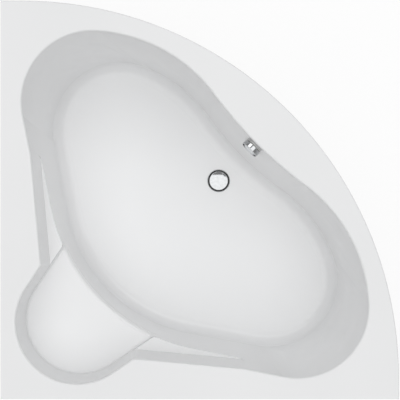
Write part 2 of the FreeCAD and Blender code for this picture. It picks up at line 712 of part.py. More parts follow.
def round_tub(body):
    """The roundings of the moulded sheet, each on the shape that the last one left."""
    middle_of_ledge = size("(ledge_inner + ledge_rim_end) / 2")
    ledge_level = size("ledge_level")
    deck = size("deck_level")
    seat_side = size("seat_floor_radius") / 2
    soften(body, level_edges(body.Tip.Shape, "floor_level"), "floor_round")
    soften(body, level_edges(body.Tip.Shape, "floor_level - shell_wall"),
           "floor_round + shell_wall")

    def runs_up(edge):
        levels = sorted(vertex.Point.z for vertex in edge.Vertexes)
        return (len(levels) == 2 and abs(levels[0] - ledge_level) < 0.01
                and abs(levels[1] - deck) < 0.01
                and abs(edge.Vertexes[0].Point.x) < middle_of_ledge)

    noses = [edge for edge in body.Tip.Shape.Edges if runs_up(edge)]
    soften(body, names_of(body.Tip.Shape, noses), "nose_round")

    def at_seat(edge, behind):
        middle = edge.valueAt((edge.FirstParameter + edge.LastParameter) / 2)
        level = abs(middle.z - size("seat_level")) < 0.01
        at_wall = abs(middle.x) > seat_side or middle.y > size("seat_floor_centre")
        return level and at_wall == behind

    for behind, radius in ((True, "seat_round"), (False, "seat_edge_round")):
        edges = [edge for edge in body.Tip.Shape.Edges if at_seat(edge, behind)]
        soften(body, names_of(body.Tip.Shape, edges), radius)
    top = deck_face(body.Tip.Shape)
    outer = top.OuterWire.Edges
    rim = [edge for edge in top.Edges if not any(edge.isSame(other) for other in outer)]
    soften(body, names_of(body.Tip.Shape, rim), "rim_round")
    tip = size("wall_length / sqrt(2)")

    def off_the_walls(edge):
        middle = edge.valueAt((edge.FirstParameter + edge.LastParameter) / 2)
        return abs(middle.x) + middle.y < tip - 1

    outer = deck_face(body.Tip.Shape).OuterWire.Edges
    front = [edge for edge in outer if off_the_walls(edge)]
    soften(body, names_of(body.Tip.Shape, front), "deck_round")


def make_tub():
    """One moulded sheet: deck with a turned-down edge, bowl, seat and ledges."""
    body = piece("tub_shell")
    pad_of(body, "deck_level - skirt_drop", "skirt_drop", deck_outline, "0")
    pocket_of(body, "deck_level - skirt_drop", "skirt_drop - shell_wall", deck_outline,
              "shell_wall")
    tub_hollows(body, "AdditiveLoft", "shell_wall")
    tub_hollows(body, "SubtractiveLoft", "0")
    round_tub(body)
    cylinder(body, "Subtractive", ("0", "-drain_y", "floor_level - 2 * shell_wall"), (0, 0, 1),
             "hole_radius", "4 * shell_wall")
    tilt = math.radians(size(TILT))
    cylinder(body, "Subtractive", ("0", wall_y("-4 * shell_wall"), wall_z("-4 * shell_wall")),
             (0, math.cos(tilt), math.sin(tilt)), "hole_radius", "8 * shell_wall")
    place(body)


# --- places on the sloping front wall ----------------------------------------------------------

TILT = "atan(wall_fall / wall_depth)"


def wall_y(out, down="0"):
    """Y of a point beside the overflow: out along the wall's normal into the bath, and down."""
    return ("(-rim_front + overflow_drop * wall_fall / wall_depth"
            f" + ({out}) * wall_depth / wall_slant + ({down}) * wall_fall / wall_slant)")


def wall_z(out, down="0"):
    """Z of the same point."""
    return (f"(deck_level - overflow_drop + ({out}) * wall_fall / wall_slant"
            f" - ({down}) * wall_depth / wall_slant)")


def place_on_wall(body):
    """Put a sub-part at the overflow.  Its own Z points into the bath and its own Y down."""
    place(body, "0", wall_y("0"), wall_z("0"))
    lean = Rotation(Vector(1, 0, 0), size(TILT) - 90)
    body.Placement.Rotation = Rotation(Vector(0, 0, 1), DIAGONAL) * lean


# --- boards ------------------------------------------------------------------------------------

SCREW_PLACES = (("front_screw_inner", "front_bar_y"), ("-front_screw_inner", "front_bar_y"),
                ("front_screw_outer", "front_bar_y"), ("-front_screw_outer", "front_bar_y"),
                ("rear_screw_x", "rear_bar_y"), ("-rear_screw_x", "rear_bar_y"))


def make_base_board():
    """Chipboard bonded under the floor, open in front round the waste."""
    body = piece("base_board")
    pad_of(body, "bar_top", "board_thickness", bowl_outline, "floor", "-board_margin")
    pocket_of(body, "bar_top", "board_thickness", rectangle, "-board_notch", "board_notch",
              "-floor_flank - board_margin", "-drain_y + board_notch")
    for x, y in SCREW_PLACES:
        cylinder(body, "Subtractive", (x, y, "bar_top - 1"), (0, 0, 1),
                 "screw_radius + running_gap", "screw_bite + 1")
    place(body)


def seat_board_outline(sketch):
    """A round back and a straight front."""
    half = "sqrt(seat_board_radius ^ 2 - (seat_floor_centre - seat_board_front) ^ 2)"
    points = ((f"-{half}", "seat_board_front"), (half, "seat_board_front"),
              ("seat_board_radius", "seat_floor_centre"),
              ("0", "seat_floor_centre + seat_board_radius"),
              ("-seat_board_radius", "seat_floor_centre"))
    round_edge = ("seat_board_radius", 1)
    profile(sketch, points, {1: round_edge, 2: round_edge, 3: round_edge, 4: round_edge})


def make_seat_board():
    """Chipboard bonded under the seat."""
    body = piece("seat_board")
    pad_of(body, "seat_top - seat_board_thickness", "seat_board_thickness",
           seat_board_outline)
    place(body)


def make_board_screws():
    """Wood screws up through the cross bars into the board."""
    body = piece("board_screws")
    for x, y in SCREW_PLACES:
        cylinder(body, "Additive", (x, y, "bar_foot - screw_head_height"), (0, 0, 1),
                 "screw_head_radius", "screw_head_height")
        cylinder(body, "Additive", (x, y, "bar_foot"), (0, 0, 1), "screw_radius",
                 "tube_side + screw_bite - 1")
    place(body)


# --- steel cradle ------------------------------------------------------------------------------

POSTS = {
    "front_left": ("-front_post_x", "front_bar_y"),
    "front_right": ("front_post_x", "front_bar_y"),
    "rear_left": ("-rear_post_x", "rear_bar_y"),
    "rear_right": ("rear_post_x", "rear_bar_y"),
}
SEAT_POST = ("0", "seat_post_y")


def square_tube(sketch):
    """Section of the square tube."""
    outside = "tube_side / 2"
    inside = "tube_side / 2 - tube_wall"
    rectangle(sketch, f"-{outside}", outside, f"-{outside}", outside)
    rectangle(sketch, f"-({inside})", inside, f"-({inside})", inside)


def make_bar(name, role, length, x, y, screws=()):
    """One level tube of the cradle, along X (YZ_Plane) or along Y (XZ_Plane)."""
    body = piece(name)
    sketch = sketch_on(body, role)
    square_tube(sketch)
    pad(body, sketch, length, midplane=True)
    for offset in screws:
        cylinder(body, "Subtractive", (offset, "0", "-tube_side"), (0, 0, 1),
                 "screw_radius + running_gap", "2 * tube_side")
    place(body, x, y, "bar_top - tube_side / 2")


def make_post(name, spot, top):
    """One upright tube of the cradle."""
    body = piece(name)
    pad_of(body, "post_foot", f"{top} - post_foot", square_tube)
    place(body, *spot)


def make_cradle():
    """Cross bars, link bars, seat beam and posts, welded end to face."""
    make_bar("cross_bar_front", "YZ_Plane", "2 * front_post_x - tube_side", "0", "front_bar_y",
             ("front_screw_inner", "-front_screw_inner", "front_screw_outer",
              "-front_screw_outer"))
    make_bar("cross_bar_rear", "YZ_Plane", "2 * rear_post_x - tube_side", "0", "rear_bar_y",
             ("rear_screw_x", "-rear_screw_x"))
    for side, sign in (("left", "-"), ("right", "")):
        make_bar(f"link_bar_{side}", "XZ_Plane", "rear_bar_y - front_bar_y - tube_side",
                 f"{sign}link_bar_x", "(front_bar_y + rear_bar_y) / 2")
    make_bar("seat_beam", "XZ_Plane", "seat_post_y - rear_bar_y - tube_side", "0",
             "(seat_post_y + rear_bar_y) / 2")
    for name, spot in POSTS.items():
        make_post(f"post_{name}", spot, "post_top")
    make_post("seat_post", SEAT_POST, "seat_post_top")


def make_rim_pads():
    """Plastic pads between the four posts and the deck."""
    body = piece("rim_pads")
    for x, y in POSTS.values():
        pad_of(body, "post_top", "rim_pad_height", rectangle, f"{x} - rim_pad_side / 2",
               f"{x} + rim_pad_side / 2", f"{y} - rim_pad_side / 2", f"{y} + rim_pad_side / 2")
    place(body)


def make_seat_plate():
    """Steel plate between the seat post and the seat board."""
    body = piece("seat_plate")
    pad_of(body, "seat_post_top", "seat_plate_height", rectangle, "-seat_plate_side / 2",
           "seat_plate_side / 2", "-seat_plate_side / 2", "seat_plate_side / 2")
    place(body, *SEAT_POST)


# --- levelling feet ----------------------------------------------------------------------------

FEET = dict(POSTS, seat=SEAT_POST)


def make_post_inserts():
    """Threaded plastic inserts in the lower ends of the posts."""
    body = piece("post_inserts")
    half = "(tube_side / 2 - tube_wall - running_gap)"
    for x, y in FEET.values():
        sketch = sketch_on(body, "XY_Plane", "post_foot")
        rectangle(sketch, f"{x} - {half}", f"{x} + {half}", f"{y} - {half}", f"{y} + {half}")
        circle(sketch, "rod_radius + running_gap", x, y)
        pad(body, sketch, "insert_height")
    place(body)


def make_lock_nuts():
    """One hexagon nut on each rod, tightened against its post."""
    body = piece("lock_nuts")
    for x, y in FEET.values():
        sketch = sketch_on(body, "XY_Plane", "post_foot - nut_height")
        hexagon(sketch, "nut_flats", x, y)
        circle(sketch, "rod_radius + running_gap", x, y)
        pad(body, sketch, "nut_height")
    place(body)


def make_foot(name, spot):
    """A threaded rod and the pad that it stands in."""
    rod_top = "rod_seat + rod_length"
    rod = turned_piece(f"foot_rod_{name}", (
        ("0", "rod_seat"), ("rod_radius", "rod_seat"),
        ("rod_radius", f"{rod_top} - running_gap * 10"),
        ("rod_radius - running_gap * 10", rod_top), ("0", rod_top)))
    place(rod, *spot)
    foot = turned_piece(f"foot_pad_{name}", (
        ("0", "0"), ("pad_radius", "0"), ("pad_radius", "pad_height / 3"),
        ("2 * rod_radius", "pad_height"), ("rod_radius + running_gap", "pad_height"),
        ("rod_radius + running_gap", "rod_seat"), ("0", "rod_seat")))
    place(foot, *spot)


# --- front panel -------------------------------------------------------------------------------

def panel_outline(sketch, inset, width):
    """A strip behind the deck's edge, from wall to wall round the front."""
    inner = f"({inset} + {width})"
    tip = f"(wall_length - 2 * ({inset})) / sqrt(2)"
    inner_tip = f"(wall_length - 2 * {inner}) / sqrt(2)"
    short = f"(end_flat - ({inset})) / sqrt(2)"
    inner_short = f"(end_flat - {inner}) / sqrt(2)"
    end_x = f"(wall_length - 2 * ({inset}) - ({width})) / sqrt(2)"
    end_y = f"({width}) / sqrt(2)"
    points = ((tip, "0"), (end_x, end_y), (f"{inner_tip} - {inner_short}", f"-{inner_short}"),
              (f"-({inner_tip} - {inner_short})", f"-{inner_short}"), (f"-{end_x}", end_y),
              (f"-{tip}", "0"), (f"-({tip} - {short})", f"-{short}"),
              (f"{tip} - {short}", f"-{short}"))
    profile(sketch, points, {2: (f"wall_length - end_flat - {inner}", -1),
                             6: (f"wall_length - end_flat - ({inset})", 1)})


def make_front_panel():
    """The apron: one curved sheet with an inward lip above and below."""
    body = piece("front_panel")
    pad_of(body, "panel_foot", "panel_head - panel_foot", panel_outline, "panel_inset",
           "panel_wall")
    for level in ("panel_foot", "panel_head - panel_wall"):
        pad_of(body, level, "panel_wall", panel_outline, "panel_inset + panel_wall / 2",
               "panel_lip + panel_wall / 2")
    for turn in (1, -1):
        angle = math.radians(turn * size("arm_turn"))
        outward = (math.sin(angle), -math.cos(angle), 0)
        reach = "(panel_back - panel_wall)"
        cylinder(body, "Subtractive",
                 (f"{reach} * sin(arm_turn * {turn})",
                  f"front_centre - {reach} * cos(arm_turn)", "bar_foot + arm_tab / 2"),
                 outward, "panel_screw_radius + running_gap", "4 * panel_wall")
    place(body)


def make_panel_clips():
    """Four blocks that hold the panel's upper lip under the deck."""
    body = piece("panel_clips")
    outer = "-panel_back + panel_wall"
    sketch = sketch_on(body, "XY_Plane", "panel_head")
    rectangle(sketch, "-clip_width / 2", "clip_width / 2", outer, f"{outer} + clip_depth")
    block = pad(body, sketch, "deck_level - shell_wall - panel_head")
    pattern = body.newObject("PartDesign::PolarPattern", "clip_pattern")
    pattern.Originals = [block]
    pattern.Axis = (sketch, ["N_Axis"])
    pattern.setExpression("Angle", bound("3 * clip_step"))
    pattern.Occurrences = 4
    body.Tip = pattern
    doc.recompute()
    place(body, "0", "front_centre", "0", turn=-1.5 * size("clip_step"))


def arm_end(sketch, near_end, far_end, round_inside):
    """Plan of an arm between two distances from the centre of the round front."""
    half = "arm_width / 2"
    far_y = f"-sqrt({far_end} ^ 2 - ({half}) ^ 2)"
    near_y = f"-sqrt({near_end} ^ 2 - ({half}) ^ 2)" if round_inside else f"-{near_end}"
    points = ((f"-{half}", near_y), (f"-{half}", far_y), (half, far_y), (half, near_y))
    arcs = {1: (far_end, 1)}
    if round_inside:
        arcs[3] = (near_end, -1)
    profile(sketch, points, arcs)


def make_panel_arm(name, turn):
    """A flat bar under the front cross bar, with an upright end behind the panel."""
    body = piece(name)
    far_end = "(panel_back - loose_gap)"
    pad_of(body, "bar_foot - arm_thickness", "arm_thickness", arm_end, "arm_start", far_end,
           False)
    pad_of(body, "bar_foot", "arm_tab", arm_end, f"({far_end} - arm_thickness)", far_end, True)
    cylinder(body, "Subtractive",
             ("0", f"-{far_end} - arm_thickness", "bar_foot + arm_tab / 2"), (0, 1, 0),
             "panel_screw_radius + running_gap", "3 * arm_thickness")
    place(body, "0", "front_centre", "0", turn=turn * size("arm_turn"))


def make_panel_screws():
    """A round-headed screw through the panel into each arm."""
    body = piece("panel_screws")
    front = "(panel_back + panel_wall)"
    level = "bar_foot + arm_tab / 2"
    for turn in (1, -1):
        angle = math.radians(turn * size("arm_turn"))
        outward = (math.sin(angle), -math.cos(angle), 0)
        x = f"{front} * sin(arm_turn * {turn})"
        y = f"front_centre - {front} * cos(arm_turn)"
        cylinder(body, "Additive", (x, y, level), outward, "2 * panel_screw_radius",
                 "panel_screw_radius")
        cylinder(body, "Additive", (x, y, level), tuple(-part for part in outward),
                 "panel_screw_radius", "panel_wall + 2 * arm_thickness")
    place(body)


# --- waste -------------------------------------------------------------------------------------

DRAIN = ("0", "-drain_y")


def add_guide(body, level, bore):
    """A hub on four spokes across a flange's throat."""
    reach = "(throat_bore + throat_radius) / 2"
    half = "spoke_width / 2"
    pad_of(body, level, "guide_height", rectangle, f"-{reach}", reach, f"-{half}", half)
    pad_of(body, level, "guide_height", rectangle, f"-{half}", half, f"-{reach}", reach)
    pad_of(body, level, "guide_height", circle, "guide_radius")
    pocket_of(body, f"{level} - guide_height", "3 * guide_height", circle,
              f"{bore} + running_gap")


def ribbed_nut(name, bore, radius, height):
    """A hand nut: a ring with twelve ribs."""
    body = turned_piece(name, tube_points(f"{bore} + running_gap", radius, "0", height))
    sketch = sketch_on(body, "XY_Plane")
    rectangle(sketch, f"{radius} - 1", f"{radius} + 1.5", "-1.5", "1.5")
    rib = pad(body, sketch, height)
    pattern = body.newObject("PartDesign::PolarPattern", name + "_ribs")
    pattern.Originals = [rib]
    pattern.Axis = (sketch, ["N_Axis"])
    pattern.Angle = 360
    pattern.Occurrences = 12
    body.Tip = pattern
    doc.recompute()
    return body


def make_waste_top():
    """Plug, seal, flange and the two gaskets that clamp the floor."""
    plug = turned_piece("plug", (
        ("0", "stem_foot"), ("stem_radius", "stem_foot"),
        ("stem_radius", "floor_level"), ("seal_bore - running_gap", "floor_level"),
        ("seal_bore - running_gap", "cap_foot"), ("cap_radius", "cap_foot"),
        ("cap_radius", "cap_foot + cap_edge"), ("0", "cap_foot + cap_edge + cap_crown")),
        {6: ("(cap_radius ^ 2 + cap_crown ^ 2) / (2 * cap_crown)", 1)})
    soften_rim(plug, "cap_foot + cap_edge", "cap_radius", "cap_round")
    seal = turned_piece("plug_seal", tube_points(
        "seal_bore", "seal_radius", "cap_foot - seal_height", "cap_foot"))
    flange = turned_piece("waste_flange", (
        ("throat_bore", "floor_level - throat_length"),
        ("throat_radius", "floor_level - throat_length"), ("throat_radius", "flange_foot"),
        ("flange_radius", "flange_foot"), ("flange_radius", "flange_top - flange_height / 2"),
        ("flange_radius - flange_height / 2", "flange_top"),
        ("dish_radius", "flange_top"), ("throat_bore", "flange_top - dish_fall")))
    add_guide(flange, "floor_level - guide_depth", "stem_radius")
    upper = turned_piece("upper_gasket", tube_points(
        "throat_radius + running_gap", "gasket_radius", "floor_level", "flange_foot"))
    lower = turned_piece("lower_gasket", tube_points(
        "throat_radius + running_gap", "gasket_radius", "collar_top", "floor_level - shell_wall"))
    for body in (plug, seal, flange, upper, lower):
        place(body, *DRAIN)


def make_waste_body():
    """Chamber under the floor, with the overflow inlet in front and the cable boss at its side."""
    body = turned_piece("waste_body", (
        ("throat_radius + running_gap", "collar_top"), ("throat_radius + running_gap", "chamber_top"),
        ("chamber_bore", "chamber_top"), ("chamber_bore", "chamber_floor"),
        ("spigot_bore", "chamber_floor"), ("spigot_bore", "spigot_foot"),
        ("spigot_radius", "spigot_foot"), ("spigot_radius", "chamber_foot"),
        ("chamber_radius", "chamber_foot"), ("chamber_radius", "chamber_top"),
        ("gasket_radius", "chamber_top"), ("gasket_radius", "collar_top")))
    inside = "sqrt(chamber_bore ^ 2 - inlet_radius ^ 2)"
    cylinder(body, "Additive", ("0", f"-{inside} - 2", "inlet_level"), (0, -1, 0),
             "inlet_radius", f"chamber_radius + inlet_length - {inside} - 2")
    cylinder(body, "Subtractive", ("0", "-chamber_bore / 2", "inlet_level"), (0, -1, 0),
             "inlet_bore", "chamber_radius + inlet_length")
    cylinder(body, "Additive", ("(chamber_bore + chamber_radius) / 2", "cable_side",
                                "cable_level"), (1, 0, 0), "boss_radius", "boss_length")
    cylinder(body, "Subtractive", ("chamber_bore / 2", "cable_side", "cable_level"), (1, 0, 0),
             "core_radius + loose_gap", "2 * chamber_bore")
    cylinder(body, "Subtractive", ("chamber_radius + boss_length / 4", "cable_side",
                                   "cable_level"), (1, 0, 0), "sleeve_radius + running_gap",
             "2 * boss_length")
    cylinder(body, "Subtractive", ("lever_pivot_x", "-2 * chamber_radius", "lever_level"),
             (0, 1, 0), "pin_radius + running_gap", "4 * chamber_radius")
    place(body, *DRAIN)


def make_lever():
    """The lever under the stem, and the pin that it turns on."""
    body = piece("waste_lever")
    sketch = sketch_on(body, "XZ_Plane")
    tip = "-(lever_pivot_x + lever_tip)"
    half = "lever_half"
    profile(sketch, ((tip, f"-{half}"), ("lever_half * 1.5", f"-{half}"),
                     ("lever_half * 1.5", "lever_tail"), ("-lever_half * 1.5", "lever_tail"),
                     ("-lever_half * 1.5", half), (tip, half)))
    circle(sketch, "pin_radius + running_gap")
    pad(body, sketch, "lever_width", midplane=True)
    place(body, "lever_pivot_x", "-drain_y", "lever_level")
    pin = piece("lever_pin")
    cylinder(pin, "Additive", ("0", "-pin_length / 2", "0"), (0, 1, 0), "pin_radius",
             "pin_length")
    place(pin, "lever_pivot_x", "-drain_y", "lever_level")


# --- trap and outlet ---------------------------------------------------------------------------

OUTLET_TURN = 45


def make_outlet_pipe():
    """A pipe with a thinner neck inside the trap's socket and its nut."""
    body = piece("outlet_pipe")
    for start, stop, radius in (("trap_radius", "outlet_end", "outlet_neck"),
                                ("outlet_shoulder", "outlet_end", "outlet_radius")):
        sketch = sketch_on(body, "YZ_Plane", start)
        circle(sketch, radius, "0", "outlet_level")
        pad(body, sketch, f"{stop} - {start}")
    cylinder(body, "Subtractive", ("0", "0", "outlet_level"), (1, 0, 0), "outlet_bore",
             "2 * outlet_end")
    place(body, *DRAIN, "0", OUTLET_TURN)


def make_trap():
    """Bottle trap with its nut, dip tube, clean-out cap and outlet towards the back wall."""
    nut = ribbed_nut("trap_nut", "spigot_radius", "trap_nut_radius", "trap_nut_height")
    place(nut, *DRAIN, "trap_head")
    dip = turned_piece("dip_tube", tube_points(
        "spigot_bore - trap_wall / 2", "spigot_bore - running_gap", "dip_end",
        "chamber_foot"))
    place(dip, *DRAIN)
    body = turned_piece("trap_body", (
        ("spigot_radius + running_gap", "trap_head"), ("trap_radius", "trap_head"),
        ("trap_radius", "trap_foot + trap_cap_height"),
        ("trap_cap_radius - trap_wall", "trap_foot + trap_cap_height"),
        ("trap_cap_radius - trap_wall", "trap_foot + trap_cap_height + trap_wall"),
        ("trap_bore", "trap_foot + trap_cap_height + trap_wall"),
        ("trap_bore", "trap_head - trap_wall"),
        ("spigot_radius + running_gap", "trap_head - trap_wall")))
    cylinder(body, "Additive", ("socket_start", "0", "outlet_level"),
             (1, 0, 0), "outlet_neck + socket_wall", "socket_length")
    cylinder(body, "Subtractive", ("trap_bore / 2", "0", "outlet_level"), (1, 0, 0),
             "outlet_bore", "trap_bore")
    cylinder(body, "Subtractive", ("trap_radius", "0", "outlet_level"), (1, 0, 0),
             "outlet_neck + running_gap", "2 * socket_length")
    place(body, *DRAIN, "0", OUTLET_TURN)
    cap = turned_piece("trap_cap", (
        ("0", "trap_foot"), ("trap_cap_radius", "trap_foot"),
        ("trap_cap_radius", "trap_foot + trap_cap_height"),
        ("trap_cap_radius - trap_wall - running_gap", "trap_foot + trap_cap_height"),
        ("trap_cap_radius - trap_wall - running_gap", "trap_foot + trap_cap_height + trap_wall"),
        ("0", "trap_foot + trap_cap_height + trap_wall")))
    place(cap, *DRAIN)
    make_outlet_pipe()
    collar = ribbed_nut("outlet_nut", "outlet_neck", "outlet_neck + 2 * socket_wall",
                        "trap_nut_height")
    shift = "(socket_start + socket_length) / sqrt(2)"
    place(collar, shift, f"-drain_y + {shift}", "outlet_level")
    ahead = Rotation(Vector(0, 0, 1), DIAGONAL + OUTLET_TURN)
    collar.Placement.Rotation = ahead * Rotation(Vector(0, 1, 0), 90)


# --- overflow ----------------------------------------------------------------------------------

def make_knob():
    """The chrome turning cap and its spindle with the crank disc."""
    inner = "(knob_gap + knob_depth - knob_wall)"
    hub = "(spindle_radius + 2 * knob_wall)"
    bore = "(spindle_radius + running_gap)"
    knob = turned_piece("overflow_knob", (
        ("0", inner), (bore, inner), (bore, "knob_gap"), (hub, "knob_gap"), (hub, inner),
        ("knob_radius - knob_wall", inner), ("knob_radius - knob_wall", "knob_gap"),
        ("knob_radius", "knob_gap"), ("knob_radius", "knob_gap + knob_depth"),
        ("0", "knob_gap + knob_depth")))
    soften_rim(knob, "knob_gap + knob_depth", "knob_radius", "knob_round")
    crank_top = "(overflow_end - loose_gap)"
    spindle = turned_piece("knob_spindle", (
        ("0", f"{crank_top} - crank_height"), ("crank_radius", f"{crank_top} - crank_height"),
        ("crank_radius", crank_top), ("spindle_radius", crank_top), ("spindle_radius", inner),
        ("0", inner)))
    for body in (knob, spindle):
        place_on_wall(body)


def make_overflow():
    """Flange in front of the wall, gasket and body behind it."""
    flange = turned_piece("overflow_flange", (
        ("throat_bore", "-overflow_throat"), ("throat_radius", "-overflow_throat"),
        ("throat_radius", "loose_gap"), ("overflow_flange_radius", "loose_gap"),
        ("overflow_flange_radius", "loose_gap + overflow_flange_height / 2"),
        ("overflow_flange_radius - overflow_flange_height / 2",
         "loose_gap + overflow_flange_height"),
        ("throat_bore", "loose_gap + overflow_flange_height")))
    add_guide(flange, "-guide_height", "spindle_radius")
    gasket = turned_piece("overflow_gasket", tube_points(
        "throat_radius + running_gap", "overflow_collar", "overflow_collar_top", "gasket_top"))
    body = turned_piece("overflow_body", (
        ("spindle_radius + running_gap", "overflow_end"), ("chamber_radius - 2", "overflow_end"),
        ("chamber_radius - 2", "overflow_collar_top - collar_height"),
        ("overflow_collar", "overflow_collar_top - collar_height"),
        ("overflow_collar", "overflow_collar_top"),
        ("throat_radius + running_gap", "overflow_collar_top"),
        ("throat_radius + running_gap", "overflow_collar_top - collar_height"),
        ("chamber_bore - 2", "overflow_collar_top - collar_height"),
        ("chamber_bore - 2", "overflow_floor"),
        ("spindle_radius + running_gap", "overflow_floor")))
    cylinder(body, "Additive", ("0", "chamber_bore - 6", "-overflow_back"), (0, 1, 0),
             "inlet_radius", "spigot_end - chamber_bore + 6")
    cylinder(body, "Subtractive", ("0", "chamber_bore / 2", "-overflow_back"), (0, 1, 0),
             "inlet_bore", "spigot_end")
    pad_of(body, "overflow_end - lug_depth", "lug_depth + trap_wall / 2", rectangle,
           "cable_x - 5", "cable_x + 5", "crank_radius + 3", "crank_radius + 13")
    cylinder(body, "Subtractive", ("cable_x", "0", "overflow_end - cable_back"), (0, 1, 0),
             "sleeve_radius + running_gap", "2 * chamber_radius")
    for item in (flange, gasket, body):
        place_on_wall(item)


def make_overflow_pipe():
    """Pipe from the overflow down behind the wall and forward into the waste body."""
    body = piece("overflow_pipe")
    path = sketch_on(body, "YZ_Plane")
    out = "-overflow_back"
    down = "spigot_end - pipe_nut_height"
    start_y, start_z = wall_y(out, down), wall_z(out, down)
    run = f"({start_z} - inlet_level) * wall_fall / wall_depth"
    corner_y = f"({start_y} + {run})"
    end_y = "(-drain_y - chamber_radius - inlet_length + pipe_nut_height)"
    half_turn = f"(90 - {TILT} / 1 deg) / 2"
    cut = f"pipe_bend * tan({half_turn})"
    arc_start = (f"{corner_y} - {cut} * wall_fall / wall_slant",
                 f"inlet_level + {cut} * wall_depth / wall_slant")
    arc_stop = (f"{corner_y} + {cut}", "inlet_level")
    spots = [(start_y, start_z), arc_start, arc_stop, (end_y, "inlet_level")]
    points = [Vector(size(y), size(z), 0) for y, z in spots]
    centre = Vector(points[2].x, points[2].y + size("pipe_bend"), 0)
    path.addGeometry(Part.LineSegment(points[0], points[1]), False)
    first = math.atan2(points[1].y - centre.y, points[1].x - centre.x)
    bend = Part.Circle(centre, Vector(0, 0, 1), size("pipe_bend"))
    path.addGeometry(Part.ArcOfCircle(bend, first + 2 * math.pi, 1.5 * math.pi), False)
    path.addGeometry(Part.LineSegment(points[2], points[3]), False)
    path.addConstraint(Sketcher.Constraint("Tangent", 0, 2, 1, 1))
    path.addConstraint(Sketcher.Constraint("Tangent", 1, 2, 2, 1))
    path.addConstraint(Sketcher.Constraint("Horizontal", 2))
    pin_point(path, 0, 1, start_y, start_z)
    pin_point(path, 2, 2, end_y, "inlet_level")
    bind(path, "Radius", 1, formula="pipe_bend")
    bind(path, "DistanceX", -1, 1, 0, 2, formula=arc_start[0])
    section = body.newObject("Sketcher::SketchObject", "overflow_pipe_section")
    plane = [item for item in body.Origin.OriginFeatures if item.Role == "XZ_Plane"][0]
    section.AttachmentSupport = (plane, [""])
    section.MapMode = "FlatFace"
    section.setExpression("AttachmentOffset.Base.z", bound(f"-{end_y}"))
    circle(section, "pipe_radius", "0", "inlet_level")
    circle(section, "pipe_bore", "0", "inlet_level")
    feature = body.newObject("PartDesign::AdditivePipe", "overflow_pipe_sweep")
    feature.Profile = section
    feature.Spine = path
    doc.recompute()
    place(body)


def make_pipe_nuts():
    """A hand nut round each end of the overflow pipe."""
    upper = ribbed_nut("overflow_nut", "pipe_radius", "pipe_nut_radius", "pipe_nut_height")
    place(upper, "0", wall_y("-overflow_back", "spigot_end - pipe_nut_height"),
          wall_z("-overflow_back", "spigot_end - pipe_nut_height"))
    downwards = Rotation(Vector(1, 0, 0), 180 + size(TILT))
    upper.Placement.Rotation = Rotation(Vector(0, 0, 1), DIAGONAL) * downwards
    lower = ribbed_nut("inlet_nut", "pipe_radius", "pipe_nut_radius", "pipe_nut_height")
    place(lower, "0", "-drain_y - chamber_radius - inlet_length + pipe_nut_height", "inlet_level")
    forwards = Rotation(Vector(1, 0, 0), 90)
    lower.Placement.Rotation = Rotation(Vector(0, 0, 1), DIAGONAL) * forwards


# --- wall brackets -----------------------------------------------------------------------------


def make_wall_brackets(name, turn):
    """Two angle brackets on one wall, under the deck's turned-down edge."""
    body = piece(name)
    wall = "wall_length / 2"
    shelf = "(deck_level - skirt_drop)"
    foot = f"({shelf} - bracket_height)"
    for place_y in ("bracket_place", "-bracket_place"):
        sketch = sketch_on(body, "XZ_Plane", f"-({place_y})")
        profile(sketch, ((f"-{wall}", foot), (f"-{wall} + bracket_wall", foot),
                         (f"-{wall} + bracket_wall", f"{shelf} - bracket_wall"),
                         (f"-{wall} + bracket_reach", f"{shelf} - bracket_wall"),
                         (f"-{wall} + bracket_reach", shelf), (f"-{wall}", shelf)))
        pad(body, sketch, "bracket_width", midplane=True)
    for place_y in ("bracket_place", "-bracket_place"):
        cylinder(body, "Subtractive",
                 (f"-{wall} - bracket_wall", place_y, f"{shelf} - bracket_height * 0.6"),
                 (1, 0, 0), "bracket_hole", "4 * bracket_wall")
    place(body, turn=turn, diagonal=False)


# --- the whole bath ----------------------------------------------------------------------------


def make_bath():
    """Every sub-part in turn."""
    make_tub()
    make_base_board()
    make_seat_board()
    make_board_screws()
    make_cradle()
    make_rim_pads()
    make_seat_plate()
    make_post_inserts()
    make_lock_nuts()
    for name, spot in FEET.items():
        make_foot(name, spot)
    make_front_panel()
    make_panel_clips()
    make_panel_arm("panel_arm_right", 1)
    make_panel_arm("panel_arm_left", -1)
    make_panel_screws()
    make_waste_top()
    make_waste_body()
    make_lever()
    make_trap()
    make_knob()
    make_overflow()
    make_overflow_pipe()
    make_pipe_nuts()
    make_wall_brackets("wall_brackets_left", 0)
    make_wall_brackets("wall_brackets_back", -90)


def check_all():
    """Every object is sound before anything is written."""
    doc.recompute()
    for item in doc.Objects:
        if "Invalid" in item.State or "Error" in item.State:
            raise ValueError(f"{item.Label} failed: {item.State}")
    for item in PIECES:
        if item.Shape.isNull() or not item.Shape.isValid():
            raise ValueError(f"{item.Label} has no sound shape")


def write_all():
    """One STEP file a sub-part."""
    os.makedirs("parts", exist_ok=True)
    for item in PIECES:
        item.Shape.exportStep(f"parts/{item.Label}.step")
        print(item.Label, len(item.Shape.Solids), round(item.Shape.Volume))


make_bath()
check_all()
write_all()
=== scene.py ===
"""Corner bathtub: finishes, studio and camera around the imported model.

Every visible piece is a CAD node and wears the procedural finish of its material slot.  The
camera looks straight down, as the photograph does, with the +X side of the room frame at the
top.  Lengths are in metres and the lamps' powers in watts.
"""
import json
import math

